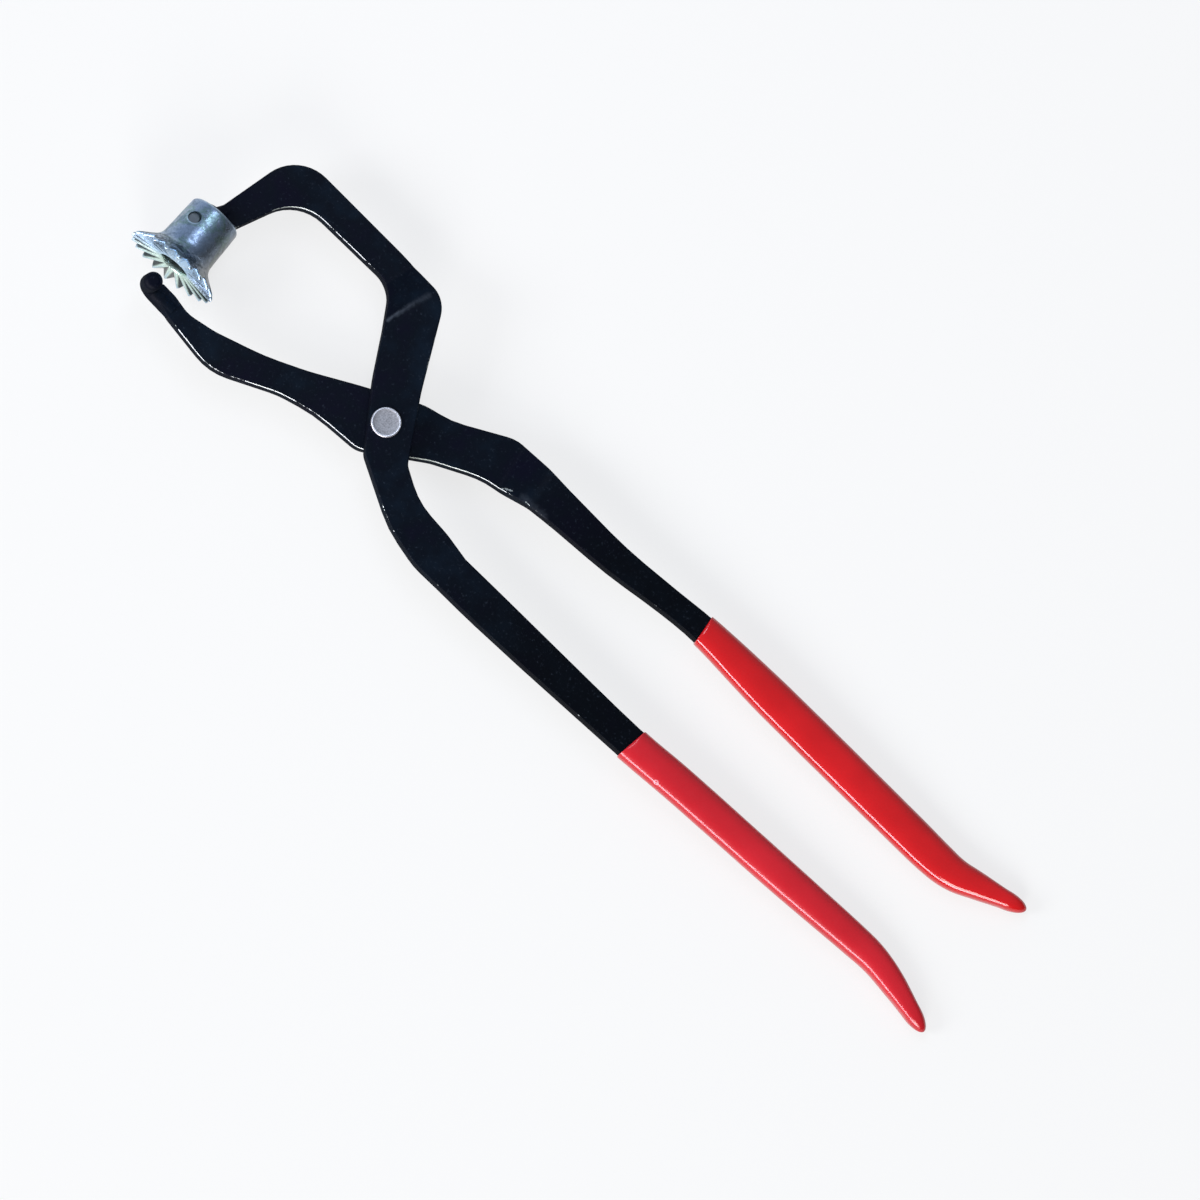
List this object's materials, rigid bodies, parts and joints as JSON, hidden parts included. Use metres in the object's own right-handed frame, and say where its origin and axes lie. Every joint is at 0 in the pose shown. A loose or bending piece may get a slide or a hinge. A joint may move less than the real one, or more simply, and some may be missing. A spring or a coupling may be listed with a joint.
{
  "type": "brake spring pliers",
  "caption": "Long-handled brake spring pliers with a C-shaped jaw that carries a swivelling toothed crown, and a hook jaw that ends in an upturned finger.",
  "frame": {"origin": "on the rivet's axis, at the flat face of its lower head", "axes": "+X along the tool from the jaws to the grips, +Z along the rivet from its lower head to its upper head, on the crown lever's side"},
  "size_m": [0.3415, 0.071, 0.0315],
  "materials": {
    "black_painted_steel": "satin black paint, worn bright along the edges",
    "rivet_steel": "dull bare steel",
    "zinc_casting": "bright zinc plate on a cast surface",
    "pin_steel": "dull steel",
    "red_dipped_grip": "glossy soft dipped plastic"
  },
  "bodies": {
    "crown_side": {"crown_lever": "black_painted_steel", "pivot_rivet": "rivet_steel", "crown_lever_grip": "red_dipped_grip"},
    "hook_side": {"hook_lever": "black_painted_steel", "hook_lever_grip": "red_dipped_grip"},
    "crown_head": {"crown": "zinc_casting", "crown_pin": "pin_steel"}
  },
  "joints": [
    {"name": "pivot", "type": "hinge", "parent": "crown_side", "child": "hook_side", "pos_m": [0, 0, 0.00605], "axis": [0, 0, 1], "range_deg": [-3.5, 60]},
    {"name": "crown_swivel", "type": "hinge", "parent": "crown_side", "child": "crown_head", "pos_m": [-0.0809, 0.0129, 0.00355], "axis": [0.0436, -0.999, 0], "continuous": true}
  ]
}
